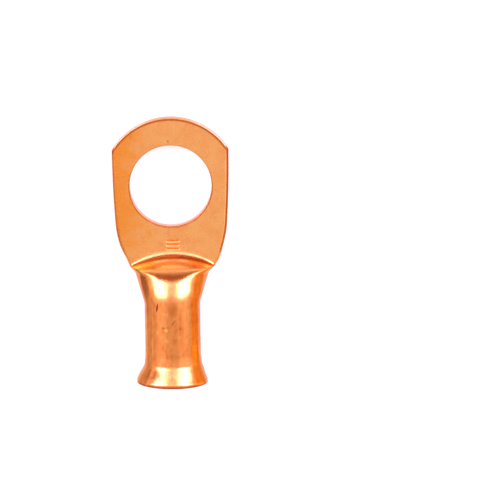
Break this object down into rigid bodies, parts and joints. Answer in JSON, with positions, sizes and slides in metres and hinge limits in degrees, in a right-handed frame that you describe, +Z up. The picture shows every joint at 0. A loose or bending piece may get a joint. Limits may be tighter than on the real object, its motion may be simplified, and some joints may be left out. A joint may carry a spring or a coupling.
{
  "type": "cable lug",
  "caption": "Copper cable lug with a round barrel, a bell mouth and a flattened palm with a stud hole.",
  "frame": {"origin": "centre of the stud hole on the palm's contact face, the underside", "axes": "+Z up through the stud hole, +Y towards the palm's round end, the barrel along -Y"},
  "size_m": [0.0188, 0.043, 0.0115],
  "materials": {
    "copper": "satin"
  },
  "bodies": {
    "root": {"cable_lug": "copper"}
  },
  "joints": []
}
